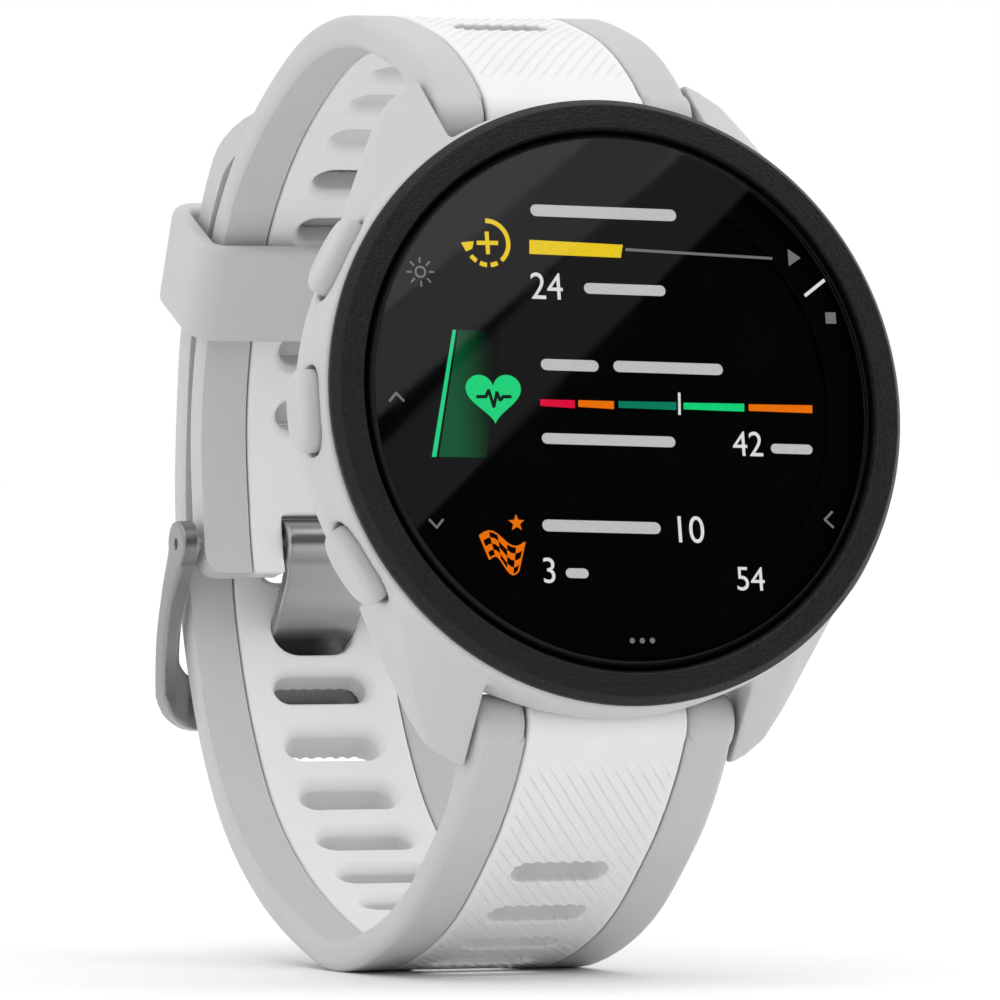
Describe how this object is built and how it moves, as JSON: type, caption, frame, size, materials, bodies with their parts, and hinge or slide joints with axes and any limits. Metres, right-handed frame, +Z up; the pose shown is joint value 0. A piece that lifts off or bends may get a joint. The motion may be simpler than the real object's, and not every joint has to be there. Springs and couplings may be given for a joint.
{
  "type": "gps running watch",
  "caption": "Round sports watch with side buttons, display, rear sensor and an internal stack, on a two-tone silicone strap fastened by a tang buckle and keeper.",
  "frame": {"origin": "middle of the bounding box's base, on the surface that the strap's loop stands on", "axes": "+Z up; the dial faces -Y and leans back 10.2 degrees; +X is the wearer's right as they read the dial"},
  "size_m": [0.044, 0.0672, 0.0681],
  "materials": {
    "case": "light grey fibre-reinforced polymer",
    "bezel": "black polymer with a fine leather-like grain",
    "lens": "clear glass over a black surround",
    "display": "black emissive display",
    "magnesium": "bare light alloy",
    "antenna": "copper strip",
    "board": "green circuit board",
    "battery": "foil pouch",
    "steel": "satin stainless steel",
    "black_plastic": "black plastic",
    "cover": "dark grey polymer",
    "seal": "black rubber",
    "sensor_window": "dark polished window",
    "gold": "gold plating",
    "strap_rail": "light grey matt silicone",
    "strap_insert": "off-white matt silicone with fine diagonal grooves",
    "buckle": "dark brushed gunmetal"
  },
  "bodies": {
    "watch": {"case_body": "case", "bezel": "bezel", "lens_glass": "lens", "display_panel": "display", "display_frame": "magnesium", "gps_antenna": "antenna", "main_board": "board", "battery": "battery", "vibration_motor": "steel", "buzzer": "black_plastic", "sensor_board": "board", "rear_cover": "cover", "rear_gasket": "seal", "sensor_window": "sensor_window", "charge_socket": "black_plastic", "upper_spring_bar": "steel", "lower_spring_bar": "steel", "long_strap_rails": "strap_rail", "short_strap_rails": "strap_rail", "long_strap_insert": "strap_insert", "short_strap_insert": "strap_insert", "buckle_pin": "steel", "charge_contact_1": "gold", "case_screw_1": "steel", "charge_contact_2": "gold", "case_screw_2": "steel", "charge_contact_3": "gold", "case_screw_3": "steel", "charge_contact_4": "gold", "case_screw_4": "steel", "light_switch": "steel", "up_switch": "steel", "down_switch": "steel", "start_switch": "steel", "back_switch": "steel"},
    "light_button": {"light_button": "case", "light_button_seal": "seal"},
    "up_button": {"up_button": "case", "up_button_seal": "seal"},
    "down_button": {"down_button": "case", "down_button_seal": "seal"},
    "start_button": {"start_button": "case", "start_button_seal": "seal"},
    "back_button": {"back_button": "case", "back_button_seal": "seal"},
    "upper_release_lever": {"upper_release_lever": "steel"},
    "lower_release_lever": {"lower_release_lever": "steel"},
    "keeper": {"keeper": "strap_rail"},
    "buckle_frame": {"buckle_frame": "buckle"},
    "buckle_tongue": {"buckle_tongue": "buckle"}
  },
  "joints": [
    {"name": "light_button_press", "type": "slide", "parent": "watch", "child": "light_button", "axis": [0.866, -0.0885, -0.4921], "range_m": [0, 0.0005], "stiffness_N_per_m": 1500},
    {"name": "up_button_press", "type": "slide", "parent": "watch", "child": "up_button", "axis": [1, 0, 0], "range_m": [0, 0.0005], "stiffness_N_per_m": 1500},
    {"name": "down_button_press", "type": "slide", "parent": "watch", "child": "down_button", "axis": [0.866, 0.0885, 0.4921], "range_m": [0, 0.0005], "stiffness_N_per_m": 1500},
    {"name": "start_button_press", "type": "slide", "parent": "watch", "child": "start_button", "axis": [-0.866, -0.0885, -0.4921], "range_m": [0, 0.0005], "stiffness_N_per_m": 1500},
    {"name": "back_button_press", "type": "slide", "parent": "watch", "child": "back_button", "axis": [-0.866, 0.0885, 0.4921], "range_m": [0, 0.0005], "stiffness_N_per_m": 1500},
    {"name": "upper_release_slide", "type": "slide", "parent": "watch", "child": "upper_release_lever", "axis": [-1, 0, 0], "range_m": [0, 0.0013], "stiffness_N_per_m": 1000},
    {"name": "lower_release_slide", "type": "slide", "parent": "watch", "child": "lower_release_lever", "axis": [-1, 0, 0], "range_m": [0, 0.0013], "stiffness_N_per_m": 1000},
    {"name": "keeper_slide", "type": "slide", "parent": "watch", "child": "keeper", "axis": [0, -0.4178, 0.9086], "range_m": [-0.0015, 0.0015]},
    {"name": "buckle_frame_hinge", "type": "hinge", "parent": "watch", "child": "buckle_frame", "pos_m": [0.00053, 0.02781, 0.03026], "axis": [1, 0, 0], "range_deg": [0, 1.5]},
    {"name": "buckle_tongue_hinge", "type": "hinge", "parent": "buckle_frame", "child": "buckle_tongue", "pos_m": [0.00053, 0.02781, 0.03026], "axis": [1, 0, 0], "range_deg": [0, 1.5]}
  ]
}
